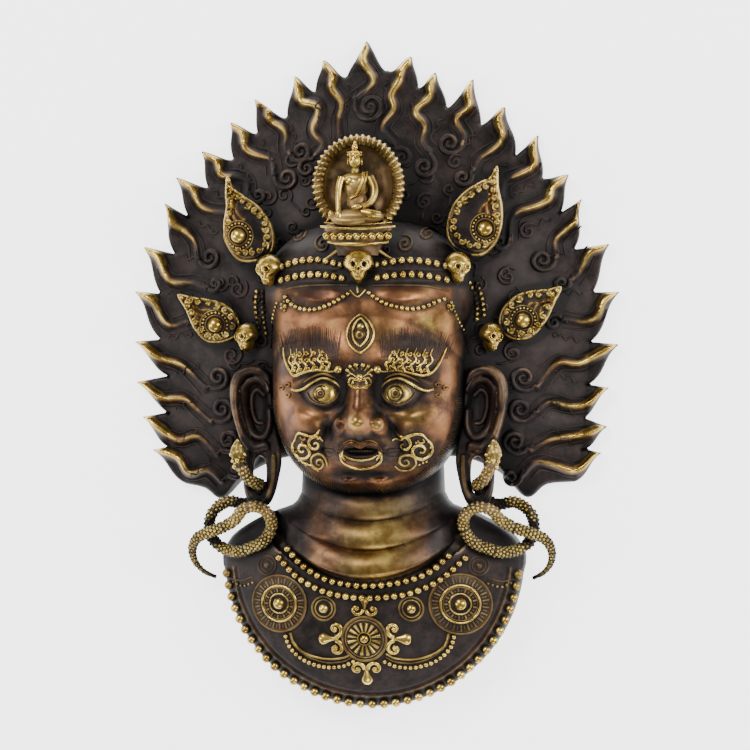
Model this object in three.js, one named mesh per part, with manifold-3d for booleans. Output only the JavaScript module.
// A cast metal mask of a wrathful deity with a flame halo, crown, snake earrings and a beaded collar.
// It lies on its back: +Z comes out of the face, +Y points to the top flame, +X is the viewer's right.
import * as THREE from 'three';
import * as BufferGeometryUtils from 'three/addons/utils/BufferGeometryUtils.js';
import Module from 'manifold-3d';

const wasm = await Module();
wasm.setup();

// Driving sizes in millimetres, on a mask of this height; the carving stretches with the height
const maskHeight = 462;
const wall = 4;
const rimHeight = 8;
const rimBand = 9;
const haloCrest = 44;
const faceWidth = 134;
const faceLength = 152;
const faceDepth = 62;
const collarRadius = 104;
const collarRimHeight = 20;
const collarBeadDiameter = 6.4;
const collarBeadCount = 37;
const chainBeadDiameter = 4.4;
const snakeDiameter = 9.2;
const earringClearance = 0.7;
const lobeThickness = 5.4;

// The carving keeps its places as shares of the height: one unit is 1 mm on the mask as built
const unit = maskHeight / 462;
const faceMiddle = -9;
const faceFoot = 42;
const size = {
  rimHeight: rimHeight * unit,
  rimBand: rimBand * unit,
  haloCrest: haloCrest * unit,
  faceWidth: faceWidth * unit,
  faceLength: faceLength * unit,
  faceDepth: faceDepth * unit,
  collarRadius: collarRadius * unit,
  collarRimHeight: collarRimHeight * unit,
  collarBeadDiameter: collarBeadDiameter * unit,
  chainBeadDiameter: chainBeadDiameter * unit,
  snakeDiameter: snakeDiameter * unit,
  earringClearance: earringClearance * unit,
  lobeThickness: lobeThickness * unit,
};

// One row for each flame, from the lower left over the top to the lower right:
// its tip, the notch after it, and the centre and radius of its curl, in units
const flames = [
  [-156, -53, -144, -53, -97, -70, 6.5],
  [-163, -30, -145, -29, -101, -47, 9],
  [-167, -6, -145, -3, -105, -25, 9.5],
  [-168, 22, -151, 23, -108, -3, 9.5],
  [-168, 57, -151, 55, -122, 33, 6.5],
  [-162, 88, -141, 83, -110, 61, 6],
  [-147, 118, -131, 108, -114, 80, 8.5],
  [-139, 136, -118, 130, -93, 104, 6],
  [-121, 154, -100, 150, -80, 123, 6],
  [-101, 174, -83, 168, -59, 135, 9.5],
  [-84, 190, -62, 179, -51, 155, 8],
  [-56, 206, -42, 197, -42, 139, 7],
  [-36, 217, -20, 207, -18, 158, 6],
  [-6, 230, 9, 211, -2, 185, 12],
  [25, 219, 30, 199, 20, 150, 6],
  [42, 208, 50, 185, 38, 139, 9],
  [68, 203, 74, 173, 53, 160, 8],
  [90, 184, 98, 151, 63, 135, 7],
  [113, 164, 117, 136, 82, 117, 6],
  [134, 137, 129, 110, 89, 91, 6],
  [143, 120, 139, 86, 118, 78, 9.5],
  [162, 89, 152, 56, 128, 61, 6],
  [169, 56, 150, 21, 125, 35, 6.5],
  [169, 20, 148, -9, 105, -4, 10],
  [162, -10, 146, -32, 103, -25, 10],
  [161, -37, 145, -54, 99, -48, 10],
  [157, -55, 140, -76, 96, -72, 6.5],
];
const firstNotch = [-133, -78];
const lowerEdgeLeft = [[-46, -58], [-66, -60], [-88, -70], [-107, -88], [-120, -81]];
const lowerEdgeRight = [[120, -78], [106, -87], [88, -70], [66, -60], [46, -58]];

const haloCentre = new THREE.Vector2(0, 50).multiplyScalar(unit);
const haloInner = 58 * unit;
const face = {
  y: faceMiddle * unit,
  z: faceFoot * unit,
  halfWidth: size.faceWidth / 2,
  halfLength: size.faceLength / 2,
};
const crown = { y: 56 * unit, z: 38 * unit, halfWidth: 73 * unit, halfLength: 50 * unit, depth: 56 * unit };
const neck = { top: -66 * unit, base: -146 * unit, z: 24 * unit, depth: 46 * unit, roll: 20.2 * unit };
const collar = { y: -128 * unit, neckHeight: 62 * unit };

// Solids

function solid(geometry) {
  const bare = geometry.clone();
  bare.deleteAttribute('normal');
  bare.deleteAttribute('uv');
  const merged = withoutSlivers(BufferGeometryUtils.mergeVertices(bare, 1e-4));
  const mesh = new wasm.Mesh({
    numProp: 3,
    vertProperties: new Float32Array(merged.attributes.position.array),
    triVerts: new Uint32Array(merged.index.array),
  });
  mesh.merge();
  const made = new wasm.Manifold(mesh);
  return made.volume() < 0 ? solid(turnedInsideOut(merged)) : made;
}

// Columns that meet in one point leave triangles with two equal corners, which are dropped
function withoutSlivers(geometry) {
  const kept = [];
  const index = geometry.index.array;
  for (let i = 0; i < index.length; i += 3) {
    const [a, b, c] = index.slice(i, i + 3);
    if (a !== b && b !== c && c !== a) {
      kept.push(a, b, c);
    }
  }
  geometry.setIndex(kept);
  return geometry;
}

function turnedInsideOut(geometry) {
  const index = geometry.index.array;
  for (let i = 0; i < index.length; i += 3) {
    [index[i], index[i + 1]] = [index[i + 1], index[i]];
  }
  return geometry;
}

function joined(solids) {
  let level = solids;
  while (level.length > 1) {
    const next = [];
    for (let i = 0; i < level.length; i += 2) {
      next.push(i + 1 < level.length ? level[i].add(level[i + 1]) : level[i]);
    }
    level = next;
  }
  return level[0];
}

// A closed skin over rings that all have the same number of points
function loft(rings) {
  const count = rings[0].length;
  const positions = rings.flat().flatMap((p) => [p.x, p.y, p.z]);
  const index = [];
  for (let i = 0; i + 1 < rings.length; i++) {
    for (let j = 0; j < count; j++) {
      const a = i * count + j;
      const b = i * count + (j + 1) % count;
      index.push(a, b, a + count, b, b + count, a + count);
    }
  }
  const last = (rings.length - 1) * count;
  for (let j = 1; j + 1 < count; j++) {
    index.push(0, j + 1, j);
    index.push(last, last + j, last + j + 1);
  }
  const geometry = new THREE.BufferGeometry();
  geometry.setAttribute('position', new THREE.Float32BufferAttribute(positions, 3));
  geometry.setIndex(index);
  return solid(geometry);
}

function vec(x, y, z) {
  return new THREE.Vector3(x * unit, y * unit, z * unit);
}

function mix(a, b, t) {
  return a + (b - a) * t;
}

// Surfaces: the height of each main form over the plan

// The domes are rounded boxes in plan and rise steeply from their feet
const domeSquareness = 2.3;
const domeRise = 0.46;
const neckTop = 46;
const neckFoot = 62;
const neckBow = 0.0067;

function turnFromBelow(x, y) {
  const angle = Math.atan2(-(x - haloCentre.x), -(y - haloCentre.y));
  return angle < 0 ? angle + 2 * Math.PI : angle;
}

const haloEdge = [...lowerEdgeLeft, firstNotch, ...flames.map((row) => [row[2], row[3]]), ...lowerEdgeRight]
  .map(([x, y]) => new THREE.Vector2(x * unit, y * unit));
const edgeTurns = haloEdge.map((p) => turnFromBelow(p.x, p.y));
const edgeRadii = haloEdge.map((p) => p.distanceTo(haloCentre));

function haloRadius(turn) {
  const next = edgeTurns.findIndex((t) => t > turn);
  if (next <= 0) {
    return edgeRadii[next < 0 ? edgeRadii.length - 1 : 0];
  }
  const share = (turn - edgeTurns[next - 1]) / (edgeTurns[next] - edgeTurns[next - 1]);
  return mix(edgeRadii[next - 1], edgeRadii[next], share);
}

function haloHeight(x, y) {
  const radius = haloRadius(turnFromBelow(x, y));
  const reach = Math.hypot(x - haloCentre.x, y - haloCentre.y);
  const inward = THREE.MathUtils.clamp((radius - reach) / (radius - haloInner), 0, 1);
  return size.rimHeight + (size.haloCrest - size.rimHeight) * Math.sin(inward * Math.PI / 2);
}

function domeHeight(x, y, dome, depth) {
  const across = Math.abs(x / dome.halfWidth) ** domeSquareness;
  const along = Math.abs((y - dome.y) / dome.halfLength) ** domeSquareness;
  const out = across + along;
  return out < 1 ? dome.z + depth * (1 - out) ** domeRise : 0;
}

function neckHeight(x, y) {
  const halfWidth = mix(neckTop, neckFoot, (neck.top - y) / (neck.top - neck.base)) * unit;
  if (Math.abs(x) >= halfWidth || y > neck.top || y < neck.base - 10 * unit) {
    return 0;
  }
  const along = y - x * x * neckBow / unit;
  const roll = Math.sqrt(Math.abs(Math.sin(Math.PI * (along + 102.6 * unit) / neck.roll)));
  return neck.z + (neck.depth - 4 * unit) * Math.sqrt(1 - (x / halfWidth) ** 2) + 5 * unit * roll;
}

function collarHeight(x, y) {
  const out = Math.min(1, Math.hypot(x, y - collar.y) / size.collarRadius);
  return size.collarRimHeight + (collar.neckHeight - size.collarRimHeight) * (1 - out * out) ** 0.8;
}

function skin(x, y) {
  const onCollar = y < -116 * unit && Math.hypot(x, y - collar.y) < size.collarRadius + 3 * unit;
  return Math.max(
    y > -90 * unit ? haloHeight(x, y) : 0,
    domeHeight(x, y, face, size.faceDepth),
    domeHeight(x, y, crown, crown.depth),
    neckHeight(x, y),
    onCollar ? collarHeight(x, y) : 0,
  );
}

// Halo

const haloFloor = haloInner * 0.5;
const flameLevels = [0.22, 0.45, 0.75, 1];
const crestLifts = [3, 4, 2.5, 7];

function inwardPoint(turn, inset, share) {
  const reach = mix(haloRadius(turn) - inset, haloFloor, share);
  return new THREE.Vector2(haloCentre.x - Math.sin(turn) * reach, haloCentre.y - Math.cos(turn) * reach);
}

function curveAt(points, t) {
  const [a, b, c, d] = points;
  const s = 1 - t;
  return new THREE.Vector2()
    .addScaledVector(a, s * s * s)
    .addScaledVector(b, 3 * s * s * t)
    .addScaledVector(c, 3 * s * t * t)
    .addScaledVector(d, t * t * t);
}

// The crest line of a flame: down from its hooked tip, then inwards to its curl
function flameSpine([tipX, tipY, , , curlX, curlY]) {
  const side = tipX < -10 ? -1 : 1;
  const tip = new THREE.Vector2(tipX, tipY).multiplyScalar(unit);
  const curl = new THREE.Vector2(curlX, curlY).multiplyScalar(unit);
  const reach = tip.distanceTo(curl);
  return [
    tip,
    tip.clone().add(new THREE.Vector2(side * 0.06, -0.34).multiplyScalar(reach)),
    curl.clone().add(new THREE.Vector2(side * 0.3, 0.04).multiplyScalar(reach)),
    curl,
  ];
}

function hookedEdge(from, to, bulge) {
  const along = to.clone().sub(from);
  const outward = from.clone().add(to).multiplyScalar(0.5).sub(haloCentre).normalize();
  return from.clone().addScaledVector(along, 0.5).addScaledVector(outward, along.length() * bulge);
}

// Each column runs from the outline inwards; the flame crests stand proud and the valleys between them lie low
function haloColumns() {
  const columns = [];
  const edgeColumn = ([x, y]) => {
    const start = new THREE.Vector2(x, y).multiplyScalar(unit);
    const turn = turnFromBelow(start.x, start.y);
    columns.push({ points: [start, ...flameLevels.map((t) => inwardPoint(turn, 0, t * 0.9))], lift: 0 });
  };
  const spines = flames.map((row) => flameLevels.map((t) => curveAt(flameSpine(row), t)));
  lowerEdgeLeft.forEach(edgeColumn);
  edgeColumn(firstNotch);
  flames.forEach((row, i) => {
    const tip = new THREE.Vector2(row[0], row[1]).multiplyScalar(unit);
    const before = new THREE.Vector2(...(i === 0 ? firstNotch : flames[i - 1].slice(2, 4))).multiplyScalar(unit);
    const after = new THREE.Vector2(row[2], row[3]).multiplyScalar(unit);
    const bulges = row[0] < -10 ? [0.2, -0.16] : [-0.16, 0.2];
    const valleyBefore = columns[columns.length - 1].points.slice(1);
    if (bulges[0] > 0) {
      columns.push({ points: [hookedEdge(before, tip, bulges[0]), ...valleyBefore], lift: 0 });
    }
    columns.push({ points: [tip, ...spines[i]], lift: 1 });
    const turn = turnFromBelow(after.x, after.y);
    const valleyAfter = flameLevels.map((t, level) => (i + 1 === flames.length || level === 0
      ? inwardPoint(turn, 0, level === 0 ? 0.07 : t * 0.9)
      : spines[i][level].clone().lerp(spines[i + 1][level], 0.5)));
    if (bulges[1] > 0) {
      columns.push({ points: [hookedEdge(tip, after, bulges[1]), ...valleyAfter], lift: 0 });
    }
    columns.push({ points: [after, ...valleyAfter], lift: 0 });
  });
  lowerEdgeRight.forEach(edgeColumn);
  return columns;
}

function haloBody() {
  const columns = haloColumns();
  const ring = (level, height) => columns.map(({ points, lift }) => {
    const p = points[level];
    return new THREE.Vector3(p.x, p.y, height(p.x, p.y, lift));
  });
  const tipHeight = (x, y, lift) => (lift > 0 ? size.rimHeight * 0.6 : size.rimHeight);
  const underside = columns.map(({ points }) => {
    const p = inwardPoint(turnFromBelow(points[0].x, points[0].y), 0, 1);
    return new THREE.Vector3(p.x, p.y, 0);
  });
  const rings = [underside, ring(0, () => 0), ring(0, tipHeight)];
  flameLevels.forEach((t, i) => {
    rings.push(ring(i + 1, (x, y, lift) => haloHeight(x, y) + lift * crestLifts[i] * unit));
  });
  rings.push(columns.map(({ points }) => {
    const turn = turnFromBelow(points[0].x, points[0].y);
    const p = inwardPoint(turn, 0, 1);
    return new THREE.Vector3(p.x, p.y, size.haloCrest);
  }));
  return loft(rings);
}

function haloHollow() {
  const turns = edgeTurns.filter((turn, i) => i % 2 === 0);
  const ring = (share, height) => turns.map((turn) => {
    const p = inwardPoint(turn, size.rimBand, share);
    return new THREE.Vector3(p.x, p.y, height(p.x, p.y));
  });
  const under = (x, y) => Math.max(haloHeight(x, y) - wall, wall);
  return loft([ring(0, () => -wall), ring(0, under), ring(0.35, under), ring(1, under)]);
}

// Head, neck and collar

function domeRings(dome, depth, inset, floor) {
  const shares = inset > 0 ? [1, 1, 0.8, 0.4] : [1, 1, 0.9, 0.65, 0.35];
  const count = inset > 0 ? 12 : 20;
  return shares.map((share, level) => {
    const ring = [];
    for (let i = 0; i < count; i++) {
      const angle = i / count * 2 * Math.PI;
      const cos = Math.cos(angle);
      const sin = Math.sin(angle);
      const square = Math.abs(cos) ** domeSquareness + Math.abs(sin) ** domeSquareness;
      const reach = share / square ** (1 / domeSquareness);
      const rise = (1 - share ** domeSquareness) ** domeRise * (depth - inset);
      ring.push(new THREE.Vector3(
        cos * reach * (dome.halfWidth - inset),
        dome.y + sin * reach * (dome.halfLength - inset),
        level === 0 ? floor : dome.z + rise,
      ));
    }
    return ring;
  });
}

function plateau(outline, centre, shares, height, floor) {
  const rings = shares.map((share) => outline.map((p) => {
    const x = mix(p.x, centre.x, share);
    const y = mix(p.y, centre.y, share);
    return new THREE.Vector3(x, y, height(x, y));
  }));
  return loft([outline.map((p) => new THREE.Vector3(p.x, p.y, floor)), ...rings]);
}

function neckSolid(inset, floor) {
  const rows = inset > 0 ? 2 : 9;
  const columns = 8;
  const top = neck.top + (inset > 0 ? 8 * unit : 0);
  const sections = [];
  for (let i = 0; i <= rows; i++) {
    const y = mix(top, neck.base, i / rows);
    const halfWidth = mix(neckTop, neckFoot, (neck.top - y) / (neck.top - neck.base)) * unit - inset;
    const ring = [new THREE.Vector3(-halfWidth, y, floor)];
    for (let j = 0; j <= columns; j++) {
      const angle = Math.PI * (1 - j / columns);
      const x = halfWidth * Math.cos(angle);
      const bow = y + x * x * neckBow / unit;
      const inner = Math.max(0, neck.z + (neck.depth - 4 * unit - inset) * Math.sin(angle));
      const rolled = neck.z + (neck.depth - 4 * unit) * Math.sin(angle)
        + (i % 3 === 0 ? 0 : 4.5) * unit;
      ring.push(new THREE.Vector3(x, inset > 0 ? y : bow, inset > 0 ? inner : rolled));
    }
    ring.push(new THREE.Vector3(halfWidth, y, floor));
    sections.push(ring);
  }
  return loft(sections);
}

const borderStart = Math.asin(12 * unit / size.collarRadius);

// The shoulders slope from the end of the border up to the neck, in shares of the collar's radius
const shoulderShares = [[1.02, 0.01], [0.94, 0.14], [0.81, 0.23], [0.64, 0.31]];

function collarOutline(inset) {
  const points = [];
  const steps = inset > 0 ? 12 : collarBeadCount * 2;
  for (let i = 0; i <= steps; i++) {
    const angle = Math.PI + borderStart + i / steps * (Math.PI - 2 * borderStart);
    const scallop = inset > 0 || i % 2 === 1 ? 1 : -0.2;
    const radius = size.collarRadius + size.collarBeadDiameter / 2 * scallop - inset;
    points.push(new THREE.Vector2(Math.cos(angle) * radius, collar.y + Math.sin(angle) * radius));
  }
  const shoulder = shoulderShares.map(([out, up]) => new THREE.Vector2(
    out * size.collarRadius - inset,
    collar.y + up * size.collarRadius - inset,
  ));
  points.push(...shoulder);
  points.push(...shoulder.reverse().map((p) => new THREE.Vector2(-p.x, p.y)));
  return points;
}

// The border beads belong to the skin: its rim swells at each bead, then a groove runs inside them
function collarSolid() {
  const outline = collarOutline(0);
  const beadCount = collarBeadCount * 2 + 1;
  const ring = (share, height, every = 1) => outline.map((p, i) => {
    const q = outline[i < beadCount ? Math.min(beadCount - 1, Math.round(i / every) * every) : i];
    const x = q.x * (1 - share);
    const y = mix(q.y, collar.y - 10 * unit, share);
    return new THREE.Vector3(x, y, height(x, y, i));
  });
  const swell = (x, y, i) => {
    const onBead = i < beadCount && i % 2 === 1;
    return size.collarRimHeight + (onBead ? 0.75 : 0.1) * size.collarBeadDiameter;
  };
  const groove = (x, y) => collarHeight(x, y) - 1;
  return loft([
    outline.map((p) => new THREE.Vector3(p.x, p.y, 0)),
    ring(0, () => size.collarRimHeight),
    ring(size.collarBeadDiameter / 2 / size.collarRadius, swell),
    ring(size.collarBeadDiameter * 1.1 / size.collarRadius, groove, 2),
    ring(0.2, collarHeight, 4),
    ring(0.45, collarHeight, 6),
    ring(0.75, collarHeight, 8),
  ]);
}

function collarHollow() {
  const centre = new THREE.Vector2(0, collar.y - 10 * unit);
  return plateau(collarOutline(wall), centre, [0.03, 0.45, 0.8], (x, y) => collarHeight(x, y) - wall, -wall);
}

// Beads and ribs that follow the surface

function planCurve(points) {
  return new THREE.CatmullRomCurve3(points.map(([x, y]) => new THREE.Vector3(x * unit, y * unit, 0)));
}

function rib(points, width, lift, steps, taper = 0.35) {
  const curve = planCurve(points);
  const sections = [];
  for (let i = 0; i <= steps; i++) {
    const t = i / steps;
    const p = curve.getPointAt(t);
    const half = width / 2 * unit * (taper + (1 - taper) * Math.sin(Math.PI * mix(0.12, 0.88, t)));
    const across = curve.getTangentAt(t).applyAxisAngle(new THREE.Vector3(0, 0, 1), Math.PI / 2);
    const left = p.clone().addScaledVector(across, half);
    const right = p.clone().addScaledVector(across, -half);
    left.z = skin(left.x, left.y) - 2 * unit;
    right.z = skin(right.x, right.y) - 2 * unit;
    p.z = skin(p.x, p.y) + lift * unit;
    sections.push([left, p, right]);
  }
  return loft(sections);
}

// A chain of small beads, kept as one slim rib
function chain(points, steps) {
  const width = size.chainBeadDiameter / unit;
  return rib(points, width, width * 0.6, steps, 1);
}

function blob(x, y, z, rx, ry, rz, across = 6, down = 4) {
  const ball = new THREE.SphereGeometry(1, across, down);
  ball.scale(rx * unit, ry * unit, rz * unit);
  ball.translate(x * unit, y * unit, z * unit);
  return solid(ball);
}

// A turned boss that stands on the surface: its profile is a list of radius and height, from the foot up
function stud(x, y, profile, sides) {
  const ground = skin(x * unit, y * unit) / unit;
  const rings = [[profile[0][0], -4], ...profile].map(([radius, lift]) => {
    const ring = [];
    for (let i = 0; i < sides; i++) {
      const angle = (i + 0.5) / sides * 2 * Math.PI;
      ring.push(vec(x + Math.cos(angle) * radius, y + Math.sin(angle) * radius, ground + lift));
    }
    return ring;
  });
  return loft(rings);
}

function mirrored(make) {
  return [-1, 1].flatMap((side) => make(side));
}

// Face: its features keep their places on the face when it grows

const faceAcross = faceWidth / 134;
const faceAlong = faceLength / 152;
const faceOut = faceDepth / 62;

function facePlace(x, y, z = 0) {
  return [
    x * faceAcross,
    faceMiddle + (y - faceMiddle) * faceAlong,
    faceFoot + (z - faceFoot) * faceOut,
  ];
}

function faceVec(x, y, z) {
  return vec(...facePlace(x, y, z));
}

function faceRib(points, ...rest) {
  return rib(points.map(([x, y]) => facePlace(x, y)), ...rest);
}

function faceBlob(x, y, z, ...rest) {
  return blob(...facePlace(x, y, z), ...rest);
}

function faceParts() {
  const parts = [];
  const nose = [
    [faceVec(-3.5, 8, 84), faceVec(0, 10, 99), faceVec(3.5, 8, 84)],
    [faceVec(-6, -10, 90), faceVec(0, -10, 107), faceVec(6, -10, 90)],
    [faceVec(-10, -28, 92), faceVec(0, -28, 117), faceVec(10, -28, 92)],
    [faceVec(-12, -37, 92), faceVec(0, -37, 118), faceVec(12, -37, 92)],
    [faceVec(-8, -43, 92), faceVec(0, -43, 107), faceVec(8, -43, 92)],
  ];
  parts.push(loft(nose));
  parts.push(faceBlob(0, -35, 112, 8.5, 8, 8));
  parts.push(...mirrored((side) => faceBlob(side * 12, -37, 102, 5.5, 6, 8)));
  parts.push(...mirrored((side) => eyeParts(side)));
  parts.push(...mirrored((side) => browParts(side)));
  parts.push(...mirrored((side) => [
    faceRib([[side * 50, -33], [side * 30, -33], [side * 20, -50], [side * 38, -62], [side * 50, -50]], 7, 3, 6),
    faceBlob(side * 40, -47, 88, 4, 4, 4, 5, 3),
  ]));
  parts.push(faceBlob(0, 26, 96, 9, 12.5, 6));
  parts.push(faceBlob(0, 26, 101, 4.6, 4.6, 3.4));
  parts.push(faceRib([[0, 41], [-11, 26], [0, 12]], 3, 3, 4), faceRib([[0, 41], [11, 26], [0, 12]], 3, 3, 4));
  parts.push(faceBlob(0, 4, 106, 6, 5, 4), faceBlob(0, -4, 108, 3, 5, 4), faceBlob(0, -10, 109, 6, 2.4, 3));
  parts.push(...mouthParts());
  parts.push(faceRib([[-62, -30], [-52, -62], [-30, -78], [0, -83], [30, -78], [52, -62], [62, -30]], 10, 4, 10));
  parts.push(...mirrored((side) => faceBlob(side * 12.5, -76, 74, 4, 3.5, 5, 5, 3)));
  return parts;
}

function eyeParts(side) {
  const x = side * 26;
  return [
    faceBlob(x, -14, 93, 12, 7, 7),
    faceBlob(x, -14, 97, 5.2, 5.2, 4.4),
    faceRib([[side * 12, -11], [side * 20, -4], [side * 32, -3], [side * 42, -11], [side * 53, -12]], 4, 4, 5),
    faceRib([[side * 12, -13], [side * 22, -22], [side * 33, -21], [side * 42, -12]], 3.4, 2.6, 4),
  ];
}

function browParts(side) {
  const base = faceRib([[side * 13, 1], [side * 25, 0], [side * 42, -1], [side * 56, 14]], 6, 4, 4);
  const curls = [20, 34, 48].map((x, i) => {
    const lift = Math.max(0, x - 41) * 0.9;
    return faceRib([
      [side * x, 0 + lift], [side * (x + 2), 7 + lift], [side * (x - 2), 12 + lift], [side * (x + 3), 17 + i * 0.4 + lift],
    ], 6, 3, 3);
  });
  return [base, ...curls];
}

function mouthParts() {
  return [
    faceRib([[-25, -52], [-14, -50], [0, -46.5], [14, -50], [25, -52]], 5, 8, 6),
    faceRib([[-15, -55], [-10, -62], [0, -66], [10, -62], [15, -55]], 6, 9, 5),
    faceBlob(0, -57, 97, 13, 6, 7),
    ...mirrored((side) => {
      const fang = new THREE.ConeGeometry(2.2 * unit, 9 * unit, 5);
      fang.rotateX(Math.PI);
      fang.translate(...faceVec(side * 12, -57, 99).toArray());
      return solid(fang);
    }),
  ];
}

// Crown

function leaf(side, tip, base, width, turn) {
  const points = [];
  const shape = [[0, 0], [0.48, 0.16], [0.46, 0.5], [0.2, 0.8], [0, 1]];
  for (const [out, up] of shape) {
    points.push([out, up]);
  }
  for (const [out, up] of shape.slice(1, -1).reverse()) {
    points.push([-out, up]);
  }
  const axis = new THREE.Vector3().subVectors(tip, base);
  const across = new THREE.Vector3(-axis.y, axis.x, 0).normalize();
  across.applyAxisAngle(axis.clone().normalize(), turn);
  const face = new THREE.Vector3().crossVectors(across, axis).normalize();
  face.multiplyScalar(face.z < 0 ? -1 : 1);
  const ring = (size, lift) => points.map(([out, up]) => base.clone()
    .addScaledVector(axis, mix(0.5, up, size))
    .addScaledVector(across, out * width * unit * size)
    .addScaledVector(face, lift * unit));
  const plate = loft([ring(1, -2), ring(1, 1.4), ring(0.8, 2.6)]);
  const centre = base.clone().addScaledVector(axis, 0.42).addScaledVector(face, 2 * unit);
  const round = new THREE.SphereGeometry(6.4 * unit, 6, 3).translate(centre.x, centre.y, centre.z);
  return [plate, solid(round)];
}

function skull(x, y, z, size) {
  return [
    blob(x, y + size * 0.15, z, size * 0.9, size, size * 0.85),
    blob(x, y - size * 0.8, z, size * 0.5, size * 0.5, size * 0.75, 5, 3),
  ];
}

function nicheParts() {
  const centre = { x: -2, y: 128 };
  const ring = (rx, ry, z) => {
    const points = [];
    for (let i = 0; i < 14; i++) {
      const angle = i / 14 * 2 * Math.PI;
      points.push(vec(centre.x + Math.cos(angle) * rx, centre.y + Math.sin(angle) * ry, z));
    }
    return points;
  };
  const plate = loft([
    ring(16, 18, 32), ring(15, 18, 70), ring(29, 32, 89), ring(31.5, 34, 93), ring(27, 30.5, 99), ring(20, 25, 92),
  ]);
  const stem = loft([
    [vec(-20, 62, 60), vec(20, 62, 60), vec(20, 98, 40), vec(-20, 98, 40)],
    [vec(-20, 76, 96), vec(20, 76, 96), vec(20, 99, 96), vec(-20, 99, 96)],
  ]);
  const parts = [plate, stem];
  const lotus = [[14, 84], [16, 90], [21, 91], [18.5, 95], [24, 97], [23, 101]].map(([halfWidth, y]) => {
    const points = [];
    for (let i = 0; i < 8; i++) {
      const angle = (i + 0.5) / 8 * 2 * Math.PI;
      points.push(vec(centre.x + Math.cos(angle) * halfWidth, y, 97 + Math.sin(angle) * halfWidth * 0.42));
    }
    return points;
  });
  parts.push(loft(lotus));
  return [...parts, ...seatedFigure(centre.x)];
}

function seatedFigure(x) {
  return [
    blob(x, 145.5, 101, 5, 5.6, 5.4),
    blob(x, 151.8, 101, 2.4, 3, 2.6, 6, 4),
    blob(x, 128, 99, 8.6, 13, 6),
    blob(x, 135, 100, 11.5, 4.6, 5),
    blob(x, 106, 102, 18, 5.4, 8),
    rib3([vec(x - 10, 135, 100), vec(x - 13, 122, 103), vec(x - 8.5, 108, 108)], 2.6),
    rib3([vec(x + 10, 135, 100), vec(x + 13, 122, 103), vec(x + 2, 113, 108)], 2.6),
  ];
}

function rib3(points, radius) {
  const circle = new THREE.Shape().absarc(0, 0, radius * unit, 0, 2 * Math.PI);
  const path = new THREE.CatmullRomCurve3(points);
  return solid(new THREE.ExtrudeGeometry(circle, { steps: 4, extrudePath: path, curveSegments: 2 }));
}

function crownParts() {
  return [
    ...nicheParts(),
    ...skull(0, 74, 94, 9.5),
    ...mirrored((side) => [
      ...leaf(side, vec(side * 92, 138, 68), vec(side * 58, 68, 52), 34, side * 0.5),
      ...leaf(side, vec(side * 133, 57, 50), vec(side * 70, 14, 28), 28, side * 0.3),
      ...skull(side * 65, 70.5, 68, 9),
      ...skull(side * 85, 24, 41, 7.5),
    ]),
    chain([[-60, 74], [-40, 76], [-12, 72]], 4),
    chain([[12, 72], [40, 76], [60, 74]], 4),
    chain([[-64, 62], [-45, 67], [-12, 64]], 4),
    chain([[12, 64], [45, 67], [64, 62]], 4),
    ...mirrored((side) => [
      rib([[side * 52, 52], [side * 40, 44], [side * 26, 44], [side * 5, 56]], 3, 2.4, 5),
      rib([[side * 62, 46], [side * 66, 32], [side * 66, 18]], 4, 3, 3),
    ]),
  ];
}

// Ears

function ear(side) {
  const outline = [[68, -6], [76, 3], [85, 3], [93, -4], [93, -20], [88, -36], [80, -50], [73, -54]];
  const route = outline.map(([x, y], i) => vec(side * x, y, i < 2 ? 48 : 56));
  const circle = new THREE.Shape().absarc(0, 0, 3.6 * unit, 0, 2 * Math.PI);
  const helixPath = new THREE.CatmullRomCurve3(route);
  const helix = new THREE.ExtrudeGeometry(circle, { steps: 8, extrudePath: helixPath, curveSegments: 2 });
  const bowlFront = outline.map(([x, y]) => vec(side * x, y, 50));
  const bowlBack = outline.map(([x, y]) => vec(side * mix(x, 70, 0.3), y * 0.9 - 2, 20));
  const ridge = new THREE.CatmullRomCurve3([vec(side * 74, -4, 50), vec(side * 84, -12, 53), vec(side * 79, -38, 52)]);
  const fold = new THREE.ExtrudeGeometry(new THREE.Shape().absarc(0, 0, 2.6 * unit, 0, 2 * Math.PI), {
    steps: 4, extrudePath: ridge, curveSegments: 2,
  });
  return [solid(helix), loft([bowlBack, bowlFront]), solid(fold), lobe(side)];
}

const lobeHalfWidth = size.snakeDiameter / 2 + size.earringClearance + size.lobeThickness / 2;
const lobePlace = { x: 75.5, y: -72, z: 51, halfLength: 20 };

function lobe(side) {
  const rings = [];
  const steps = 12;
  const sides = 4;
  for (let i = 0; i < steps; i++) {
    const angle = i / steps * 2 * Math.PI;
    const ring = [];
    for (let j = 0; j < sides; j++) {
      const around = j / sides * 2 * Math.PI;
      const out = size.lobeThickness / 2 * Math.cos(around);
      ring.push(new THREE.Vector3(
        side * lobePlace.x * unit + Math.cos(angle) * (lobeHalfWidth + out),
        lobePlace.y * unit + Math.sin(angle) * (lobePlace.halfLength * unit + out),
        lobePlace.z * unit + size.lobeThickness / 2 * Math.sin(around),
      ));
    }
    rings.push(ring);
  }
  return closedLoop(rings);
}

function closedLoop(rings) {
  const count = rings[0].length;
  const positions = rings.flat().flatMap((p) => [p.x, p.y, p.z]);
  const index = [];
  for (let i = 0; i < rings.length; i++) {
    for (let j = 0; j < count; j++) {
      const a = i * count + j;
      const b = i * count + (j + 1) % count;
      const c = ((i + 1) % rings.length) * count + j;
      const d = ((i + 1) % rings.length) * count + (j + 1) % count;
      index.push(a, b, c, b, d, c);
    }
  }
  const geometry = new THREE.BufferGeometry();
  geometry.setAttribute('position', new THREE.Float32BufferAttribute(positions, 3));
  geometry.setIndex(index);
  return solid(geometry);
}

// Collar ornament

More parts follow.
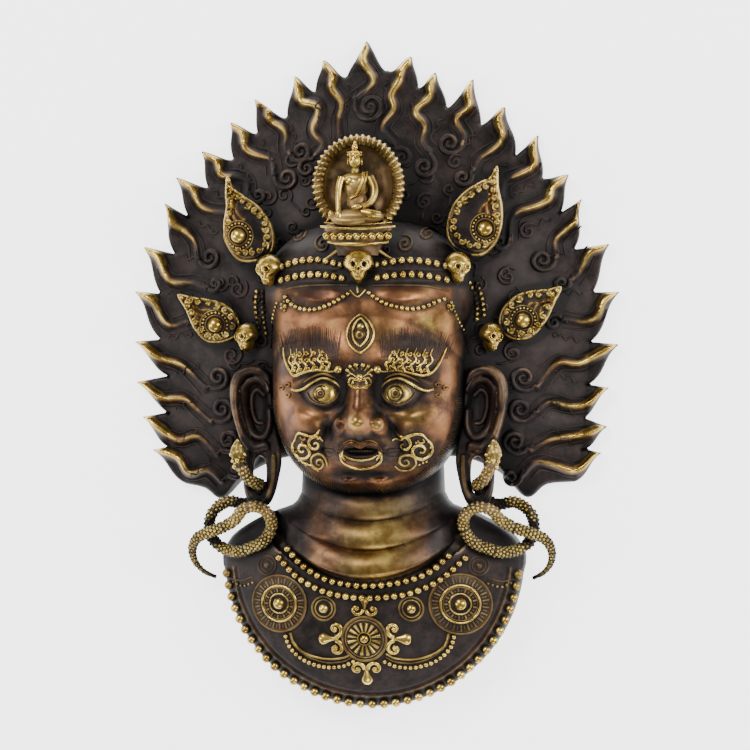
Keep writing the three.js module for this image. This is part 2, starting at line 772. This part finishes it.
function collarParts() {
  const parts = [];
  parts.push(chain([[-56, -122], [-32, -138], [0, -146], [32, -138], [56, -122]], 9));
  parts.push(chain([[-62, -128], [-36, -146], [0, -155], [36, -146], [62, -128]], 9));
  parts.push(...mirrored((side) => [
    stud(side * 63, -160, [[20, 2], [12, 3], [11, 5.5], [6, 4], [2, 8]], 10),
    stud(side * 30.5, -163, [[8.5, 3], [4, 6]], 7),
    stud(side * 73, -133.5, [[7, 3], [3.5, 5.5]], 7),
    chain([[side * 55, -182], [side * 41, -197], [side * 12, -199.5]], 4),
  ]));
  parts.push(...flower(-2, -184));
  return parts;
}

function flower(x, y) {
  const parts = [stud(x, y, [[14.5, 2], [5, 3.4], [2.5, 6]], 10)];
  const fleurs = [[0, 25], [-26, 0], [26, 0], [0, -26]];
  for (const [dx, dy] of fleurs) {
    const ground = skin((x + dx) * unit, (y + dy) * unit) / unit;
    const upright = dx === 0;
    const petal = new THREE.OctahedronGeometry(unit);
    petal.scale(upright ? 5 : 9, upright ? 9 : 5, 4);
    petal.translate((x + dx) * unit, (y + dy) * unit, ground * unit);
    const sepal = new THREE.OctahedronGeometry(unit);
    sepal.scale(upright ? 9 : 3, upright ? 3 : 9, 3.4);
    sepal.translate((x + dx * 0.84) * unit, (y + dy * 0.84) * unit, ground * unit);
    parts.push(solid(petal), solid(sepal));
  }
  return parts;
}

// Snake earrings

const snakeRoute = [
  [-88, -56, 66], [-86, -65, 68], [-82, -72.5, 65], [-77.5, -76.5, 58.5], [-75.5, -77.5, 51], [-75.5, -79.5, 42],
  [-80, -87, 34], [-89, -91.5, 31], [-99, -89.5, 31], [-108, -94, 31], [-113, -102, 31], [-112.5, -113, 31],
  [-106, -121, 31], [-93, -124.5, 38], [-82.5, -121.5, 45], [-72.5, -116.5, 51], [-66.5, -106, 55],
  [-69, -97, 60], [-77, -92.5, 61.5], [-86.5, -95, 59], [-92, -101.5, 53], [-101, -107, 47], [-111, -110.5, 43],
  [-121, -115, 37], [-125.5, -123, 30], [-124.5, -132, 23], [-119, -139, 17], [-111.5, -143, 12],
];

// The loops that lie over the collar move out and up with it
const collarGrowth = collarRadius - 104;

function snake(side) {
  const places = snakeRoute.map(([x, y, z]) => {
    const over = THREE.MathUtils.clamp((-86 - y) / 18, 0, 1);
    return vec(-side * (x - over * collarGrowth), y, z + over * Math.max(0, collarGrowth) * 0.45);
  });
  const route = new THREE.CatmullRomCurve3(places, false, 'centripetal');
  const circle = new THREE.Shape().absarc(0, 0, size.snakeDiameter / 2, 0, 2 * Math.PI);
  const body = new THREE.ExtrudeGeometry(circle, { steps: 44, extrudePath: route, curveSegments: 3 });
  const head = [
    [[-88.3, -61, 66.5], 4], [[-88.6, -55.5, 67], 5.6], [[-88.6, -51.5, 67.5], 4.6], [[-88.4, -46.5, 67.5], 1.8],
  ].map(([[x, y, z], radius]) => {
    const ring = [];
    for (let i = 0; i < 8; i++) {
      const angle = i / 8 * 2 * Math.PI;
      ring.push(new THREE.Vector3(
        -side * x * unit + Math.cos(angle) * radius * unit,
        y * unit,
        z * unit + Math.sin(angle) * radius * 0.8 * unit,
      ));
    }
    return ring;
  });
  return solid(body).add(loft(head));
}

// The finished part

function meshOf(made, name, material) {
  const out = made.getMesh();
  const geometry = new THREE.BufferGeometry();
  geometry.setAttribute('position', new THREE.Float32BufferAttribute(out.vertProperties, 3));
  geometry.setIndex(new THREE.Uint32BufferAttribute(out.triVerts, 1));
  geometry.computeVertexNormals();
  const mesh = new THREE.Mesh(geometry, material);
  mesh.name = name;
  return mesh;
}

function maskSolid() {
  const openFloor = -wall;
  const outer = joined([
    haloBody(),
    loft(domeRings(face, size.faceDepth, 0, 0)),
    loft(domeRings(crown, crown.depth, 0, 0)),
    neckSolid(0, 0),
    collarSolid(),
  ]);
  const inner = joined([
    haloHollow(),
    loft(domeRings(face, size.faceDepth, wall, openFloor)),
    loft(domeRings(crown, crown.depth, wall, openFloor)),
    neckSolid(wall, openFloor),
    collarHollow(),
  ]);
  const carved = joined([
    ...faceParts(),
    ...crownParts(),
    ...mirrored((side) => ear(side)),
    ...collarParts(),
  ]);
  return outer.subtract(inner).add(carved.subtract(inner));
}

const brass = new THREE.MeshStandardMaterial({ color: 0x8a6234, roughness: 0.42, metalness: 0.9 });
const snakeBrass = new THREE.MeshStandardMaterial({ color: 0xb08a45, roughness: 0.38, metalness: 0.9 });

const part = new THREE.Group();
part.add(meshOf(maskSolid(), 'mask', brass));
part.add(meshOf(snake(-1), 'snake_earring_left', snakeBrass));
part.add(meshOf(snake(1), 'snake_earring_right', snakeBrass));

const bounds = new THREE.Box3().setFromObject(part);
const middle = bounds.getCenter(new THREE.Vector3());
part.position.set(-middle.x, -middle.y, -bounds.min.z);

export default part;
